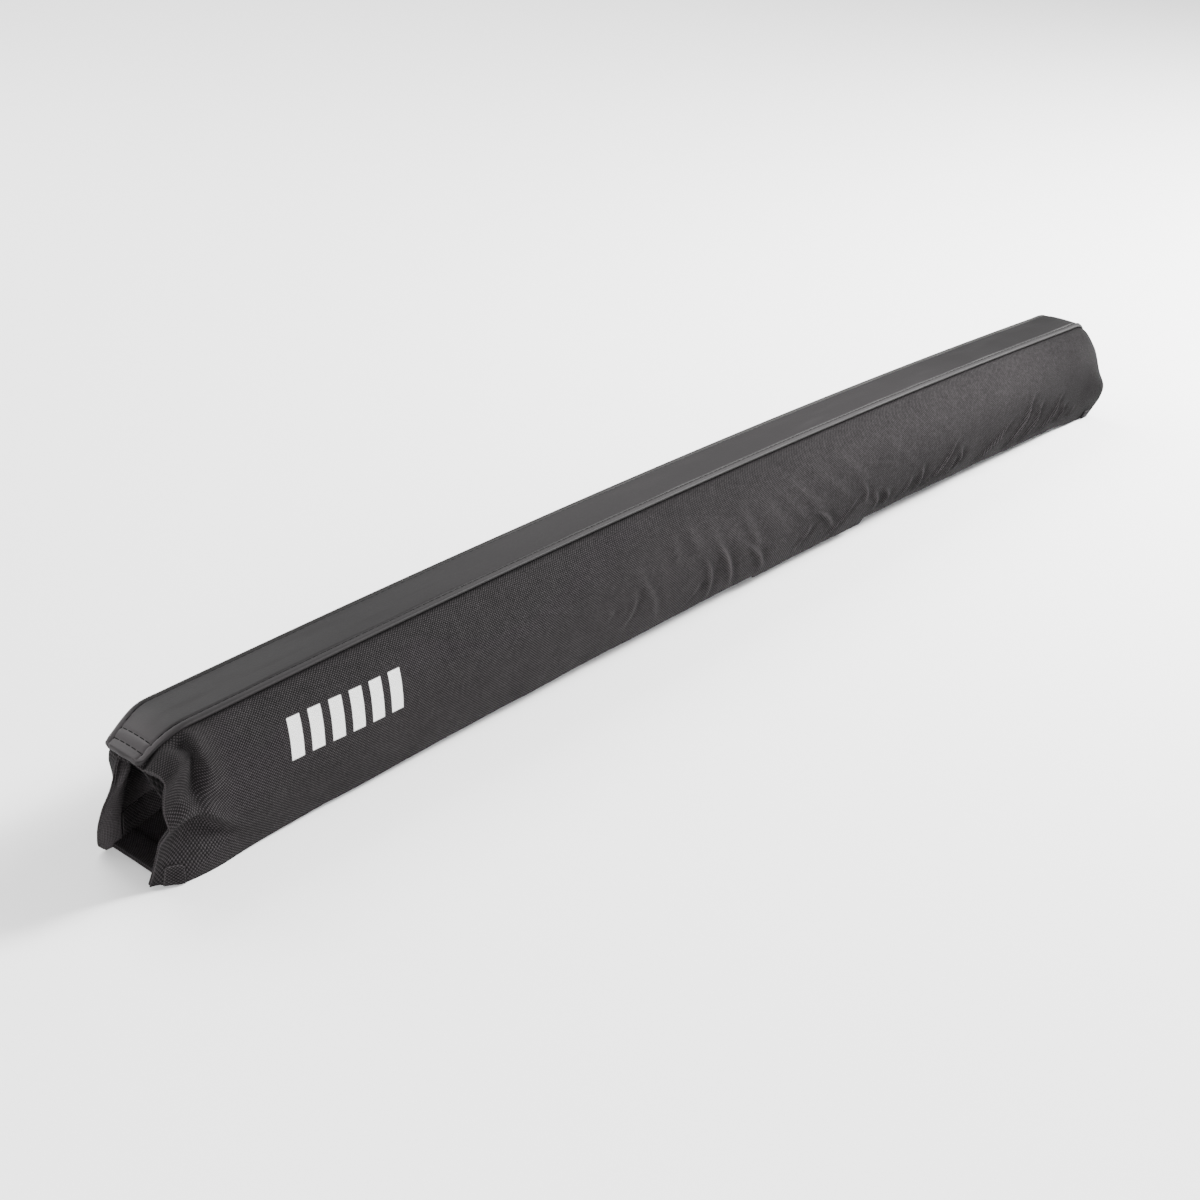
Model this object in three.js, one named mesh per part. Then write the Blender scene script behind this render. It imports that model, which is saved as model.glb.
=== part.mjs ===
import * as THREE from 'three';

// A roof rack pad: a sewn sleeve round a crossbar, with a foam bolster over the bar, a coated wear strip
// along the top, a base panel under the bar, and a closure flap on its front edge that meets the inside of
// the front wall with hook and loop tape.
// Millimetres. X runs along the bar from the near mouth to the far one, +Y is the back, and Z is up.

// Driving dimensions
const stripLength = 762;
const stripWidth = 29.6;
const mouthStripWidth = 25;
const padHeight = 63;
const archRise = 7;
const restLength = 29;
const sleeveWidth = 62;
const widestHeight = 24;
const baseWidth = 53;
const stripCrown = 1;
const tuckCurve = 1.8;

// The strip slopes down from the foam's end to each mouth
const mouthDrop = 11.8;
const shoulderReach = 18;
const shoulderCurve = 1.22;
const nearLean = 7;
const farLean = 13;
const leanReach = 70;
const mouthReach = 34;
const mouthSettle = 31;

// Cloth, folds and clearances
const cloth = 0.9;
const stripCloth = 0.8;
const gap = 0.3;
const liningGap = 0.45;
const seamAllowance = 8;
const baseSetback = 4;
const stripFold = 8.6;
const stripEndFold = 10;
const mouthHem = 12;
const foldStep = 0.6;
const lipRound = 0.35;
const lipTaper = 0.25;
const mitreLimit = 0.6;

// Foam and lining
const foamSetback = 24.5;
const liningSetback = 3;
const crownStep = 1.2;

// Hook and loop closure
const hookThickness = 1;
const loopThickness = 1.2;
const tapeSetback = 38;

// Places down a wall, from the strip's edge (0) to the hem (1)
const widestAt = 0.62;
const liningAt = 0.56;
const liningTopAt = 0.42;
const lipTopAt = 0.65;
const tapeTopAt = 0.72;
const tapeBottomAt = 0.95;
const hemAt = 0.86;
const foamSteps = [0.1, 0.2, 0.31, liningTopAt];
const frontSteps = [0, ...foamSteps, liningAt, lipTopAt, tapeTopAt, hemAt - 0.01, hemAt, 1];
const backSteps = [0, ...foamSteps, liningAt, tapeTopAt, hemAt - 0.01, hemAt, 1];

// Each mouth's outline, as shares of half the sleeve's width and of the mouth's height. The first point,
// at the strip's edge, is worked out from the strip.
const nearFrontMouth = [
  [0.61, 0.99], [0.87, 1.04], [1.04, 0.98], [1.01, 0.82], [1.1, 0.63], [0.87, 0.42], [0.775, 0.2], [0.66, 0],
];
const nearBackMouth = [
  [0.22, 0.92], [0.165, 0.84], [0.18, 0.75], [0.27, 0.63], [0.4, 0.49], [0.51, 0.34], [0.58, 0.17], [0.58, 0],
];
const farMouth = [
  [0.6, 0.97], [0.79, 0.89], [0.92, 0.77], [1, 0.62], [1.05, 0.46], [1.02, 0.3], [0.93, 0.14], [0.82, 0],
];

// Folds beside the near mouth: a valley that the foam's end leaves, and a ridge over a hollow below it.
// Their reaches and widths are along the pad, and their places and spreads are shares down the wall.
const valleyDepth = 3.6;
const valleyTopReach = 19;
const valleyFootReach = 9;
const valleyWidth = 6;
const valleyStart = 0.05;
const valleyTurn = 0.35;
const valleyEnd = 0.6;
const ridgeHeight = 2;
const ridgeReach = 10;
const ridgeWidth = 20;
const ridgeSpread = 0.05;
const ridgeDrop = 0.0025;
const ridgeRise = 6;
const hollowDepth = 3;
const hollowReach = 22;
const hollowWidth = 11;
const hollowAt = 0.78;
const hollowSpread = 0.1;

// Creases that rise from the hem over the far half of each wall
const creaseStart = -96;
const creasePitch = 32;
const creaseHalfWidth = 5;
const creaseHeight = 1.3;
const creaseLean = 26;
const creaseGrowth = 288;
const creaseFirstShare = 0.45;
const creaseTopAt = 0.42;
const creaseTopRise = 0.12;
const creaseFade = 0.22;
const creaseVary = 0.2;
const creaseStray = 4.6;

// The hem hangs a little lower over one stretch of the front wall
const sagStart = 0;
const sagEnd = 103;
const sagDepth = 1.3;
const sagStep = 3;
const hemLift = 1.5;

// Values worked out from the sizes
const halfLength = stripLength / 2;
const stripHalf = stripWidth / 2;
const sleeveHalf = sleeveWidth / 2;
const baseHalf = baseWidth / 2;
const centring = nearLean / 2;
const panelDepth = 2 * stripCloth + gap;
const hookDepth = 2 * cloth + gap;
const foldedLip = 2 * cloth * lipRound;
const loopDepth = hookDepth + hookThickness + gap;
const lipDepth = loopDepth + loopThickness + gap;
const liningDepth = cloth + liningGap;
const foamDepth = liningDepth + cloth + gap;
const FRONT = -1;
const BACK = 1;

function ease(from, to, value) {
  return THREE.MathUtils.smoothstep(value, from, to);
}

function mix(a, b, share) {
  return a + (b - a) * share;
}

function bump(value, centre, width) {
  return Math.exp(-(((value - centre) / width) ** 2));
}

// Distance from the nearer mouth
function setback(x) {
  return Math.max(halfLength - Math.abs(x), 0);
}

// The whole pad is bowed up in the middle and lies flat on a short stretch at each end
function arch(x) {
  const share = Math.min(Math.abs(x) / (halfLength - restLength), 1);
  return archRise * (1 - share ** 2);
}

// Half the strip's width, narrower at the mouths
function stripEdge(x) {
  return mix(mouthStripWidth / 2, stripHalf, ease(0, shoulderReach * 1.2, setback(x)));
}

// Height of the strip's face over the base, y from the middle, with the drop at each mouth
function stripTop(x, y) {
  const left = Math.max(1 - setback(x) / shoulderReach, 0);
  const crown = stripCrown * (1 - Math.min(Math.abs(y) / stripHalf, 1) ** 2);
  return padHeight - mouthDrop * left ** shoulderCurve + crown;
}

// The mouths lean: the near one reaches out at the bottom, and the far one is set back there
function lean(x, z) {
  const share = Math.min(1 - z / padHeight, 1);
  const near = nearLean * (1 - ease(0, leanReach, halfLength + x));
  const far = farLean * (1 - ease(0, leanReach, halfLength - x));
  return -share * (near + far);
}

function place(x, [y, z]) {
  return new THREE.Vector3(x + lean(x, z) + centring, y, z + arch(x));
}

function placedSection(x, line, inner) {
  return {
    outer: line.map((point) => place(x, point)),
    inner: inner.map((point) => place(x, point)),
  };
}

// Plain wall of the body: a quarter ellipse from the strip's edge out to the widest line, and a softer
// curve from there in to the hem
function bodyWall(edge, top, t) {
  if (t < widestAt) {
    const angle = (t / widestAt) * Math.PI / 2;
    return [
      mix(edge, sleeveHalf, Math.sin(angle)),
      mix(widestHeight, top, Math.cos(angle)),
    ];
  }
  const down = (t - widestAt) / (1 - widestAt);
  return [mix(sleeveHalf, baseHalf, down ** tuckCurve), widestHeight * (1 - down)];
}

function mouthCurve(shares) {
  const points = shares.map(([out, up]) => new THREE.Vector2(out * sleeveHalf, up));
  points.unshift(new THREE.Vector2(mouthStripWidth / 2, 1));
  return new THREE.SplineCurve(points);
}

const mouthCurves = {
  nearFront: mouthCurve(nearFrontMouth),
  nearBack: mouthCurve(nearBackMouth),
  far: mouthCurve(farMouth),
};

function mouthWall(x, side, top, t) {
  let curve = mouthCurves.far;
  if (x < 0) {
    curve = side === FRONT ? mouthCurves.nearFront : mouthCurves.nearBack;
  }
  const point = curve.getPoint(t);
  return [point.x, point.y * top];
}

// How far the front wall's folds beside the near mouth stand out from it
function nearFolds(x, t) {
  const s = halfLength + x;
  const valleyLine = mix(valleyTopReach, valleyFootReach, ease(valleyStart, valleyTurn, t));
  const held = ease(0, 2 * valleyStart, t) * (1 - ease(liningTopAt, valleyEnd, t));
  const valley = valleyDepth * bump(s, valleyLine, valleyWidth) * held;
  const ridgeAt = widestAt + s * ridgeDrop;
  const ridge = ridgeHeight * bump(t, ridgeAt, ridgeSpread) * bump(s, ridgeReach, ridgeWidth);
  const hollow = hollowDepth * bump(t, hollowAt, hollowSpread) * bump(s, hollowReach, hollowWidth);
  return ridge * ease(0, ridgeRise, s) - valley - hollow;
}

// A point on the sleeve's smooth skin, at a depth below it, as outward distance and height
function wallPoint(x, side, t) {
  const top = stripTop(x, stripHalf) - panelDepth;
  const body = bodyWall(stripEdge(x), top, t);
  const weight = 1 - ease(mouthHem / 3, mouthReach, setback(x));
  const mouth = mouthWall(x, side, top, t);
  return [mix(body[0], mouth[0], weight), mix(body[1], mouth[1], weight)];
}

function skin(x, side, t, depth) {
  const step = 0.01;
  const [out, up] = wallPoint(x, side, t);
  const before = wallPoint(x, side, Math.max(t - step, 0));
  const after = wallPoint(x, side, Math.min(t + step, 1));
  const run = new THREE.Vector2(after[0] - before[0], after[1] - before[1]).normalize();
  const fold = side === FRONT ? nearFolds(x, t) : 0;
  const stand = fold - depth;
  return [side * (out - run.y * stand), up + run.x * stand];
}

// Offsets a line of [y, z] points by a depth at each, to its left for turn 1 and its right for -1
function offsetLine(line, depths, turn) {
  return line.map(([y, z], i) => {
    const before = line[Math.max(i - 1, 0)];
    const after = line[Math.min(i + 1, line.length - 1)];
    const into = new THREE.Vector2(y - before[0], z - before[1]).normalize();
    const away = new THREE.Vector2(after[0] - y, after[1] - z).normalize();
    const along = into.clone().add(away).normalize();
    const mitre = Math.max(along.dot(i === 0 ? away : into), mitreLimit);
    const shift = turn * depths[i] / mitre;
    return [y - along.y * shift, z + along.x * shift];
  });
}

// How far out a layer below the skin lies at a height
function wallOut(x, side, height, depth) {
  let above = foamSteps[0];
  let below = 1;
  while (below - above > 1e-4) {
    const middle = (above + below) / 2;
    if (skin(x, side, middle, depth)[1] > height) {
      above = middle;
    } else {
      below = middle;
    }
  }
  return Math.abs(skin(x, side, above, depth)[0]);
}

// Turns a list of triangles so that they enclose a positive volume
function outward(positions, triangles) {
  let volume = 0;
  for (const [a, b, c] of triangles) {
    volume += positions[a].dot(positions[b].clone().cross(positions[c]));
  }
  return volume > 0 ? triangles : triangles.map(([a, b, c]) => [a, c, b]);
}

function solid(name, colour, roughness, positions, triangles) {
  const geometry = new THREE.BufferGeometry();
  geometry.setFromPoints(positions);
  geometry.setIndex(outward(positions, triangles).flat());
  geometry.computeVertexNormals();
  const material = new THREE.MeshStandardMaterial({ color: colour, roughness, metalness: 0 });
  const mesh = new THREE.Mesh(geometry, material);
  mesh.name = name;
  return mesh;
}

// Joins equal rings of points into a skin and closes each end with its own triangles
function loft(rings, firstCap, lastCap = firstCap) {
  const count = rings[0].length;
  const last = (rings.length - 1) * count;
  const triangles = [];
  for (let i = 0; i < rings.length - 1; i += 1) {
    for (let k = 0; k < count; k += 1) {
      const a = i * count + k;
      const b = i * count + (k + 1) % count;
      triangles.push([a, b, b + count], [a, b + count, a + count]);
    }
  }
  for (const [a, b, c] of firstCap) {
    triangles.push([a, c, b]);
  }
  for (const [a, b, c] of lastCap) {
    triangles.push([last + a, last + b, last + c]);
  }
  return { positions: rings.flat(), triangles };
}

function foldPoint(a, b, before) {
  const reach = a.clone().sub(before).normalize().multiplyScalar(a.distanceTo(b) * lipRound);
  return a.clone().add(b).multiplyScalar(0.5).add(reach);
}

// A strip of cloth: each section holds matching outer and inner points, and its edges are rounded
function sheet(name, colour, roughness, sections) {
  const rows = sections[0].outer.length;
  const rings = sections.map(({ outer, inner }) => [
    ...outer,
    foldPoint(outer[rows - 1], inner[rows - 1], outer[rows - 2]),
    ...[...inner].reverse(),
    foldPoint(inner[0], outer[0], inner[1]),
  ]);
  const lip = (end, next) => end.map((point, k) => {
    const across = end[(2 * rows - k + 2 * rows + 2) % (2 * rows + 2)];
    return point.clone().lerp(across, lipTaper).add(
      point.clone().sub(next[k]).normalize().multiplyScalar(cloth * lipRound),
    );
  });
  rings.unshift(lip(rings[0], rings[1]));
  rings.push(lip(rings[rings.length - 1], rings[rings.length - 2]));
  const cap = [[rows - 1, rows, rows + 1], [2 * rows, 2 * rows + 1, 0]];
  for (let j = 0; j < rows - 1; j += 1) {
    const opposite = 2 * rows - j;
    cap.push([j, j + 1, opposite - 1], [j, opposite - 1, opposite]);
  }
  const { positions, triangles } = loft(rings, cap);
  return solid(name, colour, roughness, positions, triangles);
}

// Stations: distances from a mouth that follow its hem, shoulder and folds, and even steps between
const mouthSteps = [
  0, mouthHem / 2, mouthHem, mouthHem + foldStep, shoulderReach, foamSetback,
  mouthSettle, tapeSetback, tapeSetback + mouthHem, leanReach,
];
const bodyHalf = halfLength - mouthSteps[mouthSteps.length - 1];

function evenSteps(from, to, count) {
  return Array.from({ length: count - 1 }, (_, i) => mix(from, to, (i + 1) / count));
}

function stations(between, first = 0) {
  const steps = mouthSteps.filter((s) => s >= first);
  if (steps[0] > first) {
    steps.unshift(first);
  }
  const near = steps.map((s) => s - halfLength);
  const far = steps.map((s) => halfLength - s).reverse();
  return [...near, ...between, ...far];
}

const plainSteps = evenSteps(-bodyHalf, bodyHalf, 11);

const creases = [];
for (let x = creaseStart; x < bodyHalf - creasePitch / 2; x += creasePitch) {
  creases.push(x + creaseStray * Math.sin(2.4 * creases.length));
}

// A wall has wide steps along its plain near half, three to a crease beyond, and two at each end of the sag
function wallStations() {
  const plain = evenSteps(-bodyHalf, creaseStart - creaseHalfWidth, 7);
  const folded = creases.flatMap((x) => [x - creaseHalfWidth, x, x + creaseHalfWidth]);
  return [...plain, ...folded];
}

// The creases grow towards the far mouth
function grown(x) {
  return ease(creaseStart - creasePitch, creaseStart - creasePitch + creaseGrowth, x);
}

// Crease ridges stand out from the wall and fade towards the strip
function creaseStand(x, side, t) {
  const k = creases.findIndex((centre) => Math.abs(centre - x) < creaseHalfWidth / 2);
  if (k < 0) {
    return 0;
  }
  const share = mix(creaseFirstShare, 1, grown(x)) * (1 + creaseVary * (Math.sin(1.7 * k + side) - 1));
  const top = creaseTopAt - creaseTopRise * (grown(x) - Math.cos(2.9 * k) / 2);
  return creaseHeight * share * ease(top, top + creaseFade, t);
}

function creaseShift(x, t) {
  const held = 1 - ease(bodyHalf - creasePitch, halfLength - mouthHem, x);
  return creaseLean * grown(x) * held * (0.5 - t);
}

// How far the front hem hangs below the plain hem line
function hemSag(x) {
  const begun = ease(sagStart - sagStep, sagStart + sagStep, x);
  const ended = ease(sagEnd - sagStep, sagEnd + sagStep, x);
  const free = 1 - ease(bodyHalf, halfLength - mouthHem, x);
  return sagDepth * begun * (1 - ended) - hemLift * ended * free;
}

// Carries a line's last point on along its last stretch
function extend(line, distance) {
  const [before, end] = line.slice(-2);
  const run = new THREE.Vector2(end[0] - before[0], end[1] - before[1]).setLength(distance);
  line[line.length - 1] = [end[0] + run.x, end[1] + run.y];
}

// A side wall with its seam allowance under the strip, its hem at each mouth and its folded lower edge
function sidePanel(name, side, wallSteps) {
  const sections = stations(wallStations()).map((station) => {
    const xs = wallSteps.map((t) => station + creaseShift(station, t));
    const hemmed = setback(station) <= mouthHem;
    const line = wallSteps.map((t, j) => {
      const stand = creaseStand(station, side, t);
      return skin(xs[j], side, t, -stand);
    });
    if (side === FRONT) {
      extend(line, hemSag(station));
    }
    const edge = stripEdge(xs[0]);
    const allowanceY = edge - seamAllowance;
    const allowanceZ = line[0][1] + stripTop(xs[0], allowanceY) - stripTop(xs[0], edge);
    line.unshift([line[0][0] - side * seamAllowance, allowanceZ]);
    xs.unshift(xs[0]);
    const depths = line.map((_, j) => (hemmed || j > wallSteps.indexOf(hemAt) ? 2 * cloth : cloth));
    const inner = offsetLine(line, depths, -side);
    return {
      outer: line.map((point, j) => place(xs[j], point)),
      inner: inner.map((point, j) => place(xs[j], point)),
    };
  });
  return sheet(name, 0x38353a, 0.9, sections);
}

function wearStrip() {
  const sections = stations(plainSteps).map((x) => {
    const edge = stripEdge(x);
    const fold = edge - stripFold;
    const ys = [-edge, -fold, foldStep - fold, -fold / 2];
    ys.push(...ys.map((y) => -y).reverse());
    const line = ys.map((y) => [y, stripTop(x, y)]);
    const folded = (y) => setback(x) <= stripEndFold || Math.abs(y) >= fold - 0.01;
    const depths = ys.map((y) => (folded(y) ? 2 * stripCloth : stripCloth));
    const inner = line.map(([y, z], j) => [y, z - depths[j]]);
    return placedSection(x, line, inner);
  });
  return sheet('wear_strip', 0x5c585b, 0.55, sections);
}

// The base panel lies under the bar, sewn to the foot of the back wall, with both long edges folded in
function basePanel() {
  const sections = stations(plainSteps, baseSetback).map((x) => {
    const back = wallOut(x, BACK, 0, hookDepth) - foldedLip;
    const depth = mix(hookDepth, lipDepth, ease(mouthHem, mouthReach, setback(x)));
    const front = foldedLip - wallOut(x, FRONT, cloth, depth);
    const ys = [0, seamAllowance, seamAllowance + foldStep];
    const line = [...ys.map((y) => [back - y, 0]), ...ys.map((y) => [front + y, 0]).reverse()];
    const hemmed = setback(x) <= mouthHem + baseSetback;
    const folded = (y) => hemmed || y > back - seamAllowance - 0.01 || y < front + seamAllowance + 0.01;
    const inner = line.map(([y, z]) => [y, z + (folded(y) ? 2 * cloth : cloth)]);
    return placedSection(x, line, inner);
  });
  return sheet('base_panel', 0x353235, 0.9, sections);
}

// The closure flap stands on the base panel's front edge, between the mouths, and carries the loop tape
function closureFlap() {
  const sections = stations(plainSteps, mouthReach).map((x) => {
    const foot = 2 * cloth + gap + foldedLip;
    const line = [hemAt, (hemAt + lipTopAt) / 2, lipTopAt].map((t) => skin(x, FRONT, t, lipDepth));
    line.unshift([-wallOut(x, FRONT, foot, lipDepth), foot]);
    const hemmed = setback(x) <= tapeSetback;
    const inner = offsetLine(line, line.map(() => (hemmed ? 2 * cloth : cloth)), FRONT);
    return placedSection(x, line, inner);
  });
  return sheet('closure_flap', 0x353235, 0.9, sections);
}

// The lining closes the foam's pocket: it is caught in both walls, lies over the bar, and slopes up at
// each end to the underside of the strip
function foamLining() {
  const sections = stations(plainSteps, liningSetback).map((x) => {
    const rise = 1 - Math.min((setback(x) - liningSetback) / (foamSetback - liningSetback), 1);
    const depth = rise > 0 ? hookDepth + liningGap : liningDepth;
    const half = [FRONT, BACK].map((side) => {
      const under = underStrip(x, side);
      return [liningTopAt, liningAt].map((t) => {
        const [y, z] = skin(x, side, t, depth);
        const up = mix(z, under[1] + (t < liningAt ? cloth : 0), rise);
        const out = mix(Math.abs(y), Math.abs(under[0]), rise);
        return [side * Math.min(out, wallOut(x, side, up, depth)), up];
      });
    });
    const [front, back] = half;
    const floor = [-1 / 6, 1 / 6].map((k) => mix(front[1][0], back[1][0], 0.5 + k));
    const seat = (front[1][1] + back[1][1]) / 2 - cloth * (1 - rise);
    const line = [front[0], front[1], ...floor.map((y) => [y, seat]), back[1], back[0]];
    const inner = offsetLine(line, line.map(() => cloth), 1);
    return placedSection(x, line, inner);
  });
  return sheet('foam_lining', 0x2e2c2e, 0.9, sections);
}

// Where the lining's end is caught, below the hems of the side panels and between their walls
function underStrip(x, side) {
  const edge = stripEdge(x);
  const wall = Math.abs(skin(x, side, foamSteps[1], hookDepth)[0]);
  const out = Math.min(edge - seamAllowance / 2, wall - gap);
  return [side * out, stripTop(x, edge) - panelDepth - 3 * cloth - 2 * gap];
}

// The foam fills the pocket: crowned between the seam allowances, flat over the bar
function foamCore() {
  const rings = stations(plainSteps, foamSetback).map((x) => {
    const edge = stripEdge(x);
    const ridge = edge - stripFold - crownStep;
    const shelf = stripTop(x, edge) - panelDepth - cloth - gap;
    const upper = (side) => [
      [side * (ridge - crownStep), stripTop(x, ridge) - stripCloth - gap],
      [side * ridge, shelf],
      ...foamSteps.map((t) => skin(x, side, t, foamDepth)),
    ];
    const floor = skin(x, FRONT, liningAt, liningDepth)[1] + cloth + gap;
    const corner = (side) => [side * (Math.abs(skin(x, side, liningAt, foamDepth)[0]) - crownStep), floor];
    const line = [...upper(FRONT), corner(FRONT), corner(BACK), ...upper(BACK).reverse()];
    return line.map((point) => place(x, point));
  });
  const cap = (ring) => THREE.ShapeUtils.triangulateShape(
    ring.map((point) => new THREE.Vector2(point.y, point.z)),
    [],
  );
  const { positions, triangles } = loft(rings, cap(rings[0]), cap(rings[rings.length - 1]));
  return solid('foam_core', 0x4a484c, 0.95, positions, triangles);
}

// A strip of hook or loop tape along the front wall
function tape(name, colour, depth, thickness) {
  const sections = stations(plainSteps, tapeSetback).map((x) => {
    const line = (below) => [tapeTopAt, (tapeTopAt + tapeBottomAt) / 2, tapeBottomAt].map(
      (t) => place(x, skin(x, FRONT, t, below)),
    );
    return { outer: line(depth), inner: line(depth + thickness) };
  });
  return sheet(name, colour, 0.95, sections);
}

const group = new THREE.Group();
group.add(wearStrip());
group.add(sidePanel('front_panel', FRONT, frontSteps));
group.add(sidePanel('back_panel', BACK, backSteps));
group.add(basePanel());
group.add(closureFlap());
group.add(foamLining());
group.add(foamCore());
group.add(tape('hook_tape', 0x1d1c1e, hookDepth, hookThickness));
group.add(tape('loop_tape', 0x242326, loopDepth, loopThickness));

export default group;
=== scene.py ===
"""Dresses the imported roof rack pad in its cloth: a coated wear strip sewn along the top of two woven walls, a
base panel and a closure flap under the bar, the lining and foam inside, and the stitching, hems and folds.

Lengths are millimetres until a mesh is written. x runs along the pad from its middle, t runs down a wall from
the strip's edge (0) to the hem (1), and a depth is how far a layer lies below the sleeve's smooth skin."""

import bpy
import numpy as np
from mathutils import Matrix, Vector


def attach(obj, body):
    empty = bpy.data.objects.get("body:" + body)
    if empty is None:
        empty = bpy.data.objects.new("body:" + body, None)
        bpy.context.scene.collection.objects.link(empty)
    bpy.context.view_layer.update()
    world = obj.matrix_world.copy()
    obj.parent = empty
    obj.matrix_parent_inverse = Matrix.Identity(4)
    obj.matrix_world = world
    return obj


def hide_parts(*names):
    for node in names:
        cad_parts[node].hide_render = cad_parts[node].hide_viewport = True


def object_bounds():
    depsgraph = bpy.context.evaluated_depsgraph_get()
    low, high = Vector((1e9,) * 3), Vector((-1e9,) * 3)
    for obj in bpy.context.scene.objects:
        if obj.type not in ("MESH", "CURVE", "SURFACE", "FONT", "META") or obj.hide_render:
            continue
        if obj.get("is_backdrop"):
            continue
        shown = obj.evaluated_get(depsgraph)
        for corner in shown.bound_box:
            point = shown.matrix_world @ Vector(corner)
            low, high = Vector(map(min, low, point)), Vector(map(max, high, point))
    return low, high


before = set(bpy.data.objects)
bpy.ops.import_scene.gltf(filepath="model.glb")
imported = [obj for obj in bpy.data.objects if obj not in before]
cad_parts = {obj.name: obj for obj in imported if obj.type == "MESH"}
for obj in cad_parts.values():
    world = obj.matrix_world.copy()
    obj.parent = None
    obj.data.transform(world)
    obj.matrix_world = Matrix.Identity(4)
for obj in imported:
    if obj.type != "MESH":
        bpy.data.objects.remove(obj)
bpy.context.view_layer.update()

MM = 0.001
FRONT, BACK = -1, 1

# The sleeve's sizes, as in the part's source
HALF = 381.0
STRIP_HALF = 14.8
MOUTH_STRIP_HALF = 12.5
PAD_HEIGHT = 63.0
ARCH_RISE = 7.0
REST_LENGTH = 29.0
SLEEVE_HALF = 31.0
WIDEST_HEIGHT = 24.0
BASE_HALF = 26.5
STRIP_CROWN = 1.0
TUCK_CURVE = 1.8
MOUTH_DROP = 11.8
SHOULDER_REACH = 18.0
FAR_SHOULDER_REACH = 14.0
SHOULDER_CURVE = 1.22
SHOULDER_ROUND = 3.2
STRIP_SETBACK = 1.0
CORNER_RADIUS = 2.6
NEAR_LEAN = 7.0
FAR_LEAN = 10.5
LEAN_REACH = 70.0
MOUTH_REACH = 34.0
MOUTH_HEM = 12.0
FOOT_REACH = 13.0
TUCK_REACH, TUCK_DEPTH = 3.0, 8.2
CENTRING = NEAR_LEAN / 2

# Folds of the front wall beside the near mouth, the hang of its hem, and how far the mouth's hems draw back
VALLEY_DEPTH, VALLEY_AT, VALLEY_SWAY = 4.6, 14.5, 2.5
RIDGE_HEIGHT, RIDGE_PLACE = 2.8, 0.638
HOLLOW_DEPTH, FLARE, WRINKLE = 3.8, 1.8, 0.8
HEM_SAG, HEM_LIFT = 1.4, 2.4
FRONT_TRIM, BACK_TRIM, CORNER_TRIM = 2.6, 1.2, 2.6

# Cloth and layers
CLOTH = 0.85
PLY_GAP = 0.1
MOUTH_GAP = 0.35
STRIP_CLOTH = 0.8
PANEL_DEPTH = 1.9
SEAM_ALLOWANCE = 8.0
STRIP_FOLD, STRIP_END_FOLD, FOLD_STEP = 8.6, 10.4, 0.4
FOAM_SETBACK = 24.5
LINING_SETBACK = 3.0
BASE_SETBACK = 6.0
BASE_GAP = 0.6
FLAP_FOOT = 2.7
TAPE_SETBACK, TAPE_WIDTH = 38.0, 16.0
HOOK_DEPTH, LOOP_DEPTH, FLAP_DEPTH = 2.1, 3.4, 4.9
LINING_DEPTH, FOAM_DEPTH = 1.35, 2.55
HOOK_THICKNESS, LOOP_THICKNESS = 1.0, 1.2

# Gaps round the lining and the foam
LINING_CLEAR, LINING_TURN, LINING_DROP = 0.45, 0.9, 3.3
FOAM_TOP_GAP, FOAM_SHELF_GAP, FOAM_SIDE_GAP, FOAM_FLOOR_GAP = 0.4, 1.3, 1.2, 1.4

# Painted light: how much lighter the cloth is painted inside a wall, on its mouth's hems, lower hem and ends
INNER_PAINTED_LIGHT, PLY_PAINTED_LIGHT, HEM_PAINTED_LIGHT, END_PAINTED_HIGHLIGHT = 1.8, 2.4, 0.2, 1.0

# Places down a wall
WIDEST_AT = 0.62
LINING_AT = 0.56
LINING_TOP_AT = 0.42
LIP_TOP_AT = 0.65
TAPE_TOP_AT, TAPE_BOTTOM_AT = 0.72, 0.95
HEM_AT = 0.86
TAB_TOP_AT, TAB_FOOT_AT = 0.915, 0.995
TAB_START, TAB_REACH = 4.5, 11.2
TAB_LIFT, TAB_PUFF = 0.03, 0.25

# Seams of the strip: the one along each edge, the two across each end, and their stitches
EDGE_SEAM, END_SEAMS, END_SEAM_REACH = 2.8, (4.0, 8.0), 7.9
SEAM_SINK, SEAM_WIDTH = 0.5, 0.45
STITCH_LENGTH, STITCH_RADIUS, STITCH_PITCH, STITCH_BOW = 3.1, 0.24, 4.0, 0.12
STITCH_SPOKES, STITCH_LIFT = 6, 0.1

# Seeds of each cloth's slow waves
FRONT_WAVES, STRIP_WAVES, BASE_WAVES, BACK_WAVES = 3, 5, 8, 11

# Grids: where points lie closer, round a cloth's long edge, round its ends, and in from the strip's edge
FINE_REACH = 70
HALVINGS = 24
HEM_INSET, HEM_STEP = 0.3, 0.9
EDGE_TURNS = np.radians([36, 72, 108, 144])
END_TURNS = np.radians([80, 55, 28])
STRIP_ROWS = [0, 0.3, 0.7, 1.2, 1.7, 2.1, 2.4, 2.6, 2.8, 3.0, 3.2, 3.6, 4.4, 5.6, 7.2, 8.4, 8.8, 10.4, 12.4]

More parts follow.
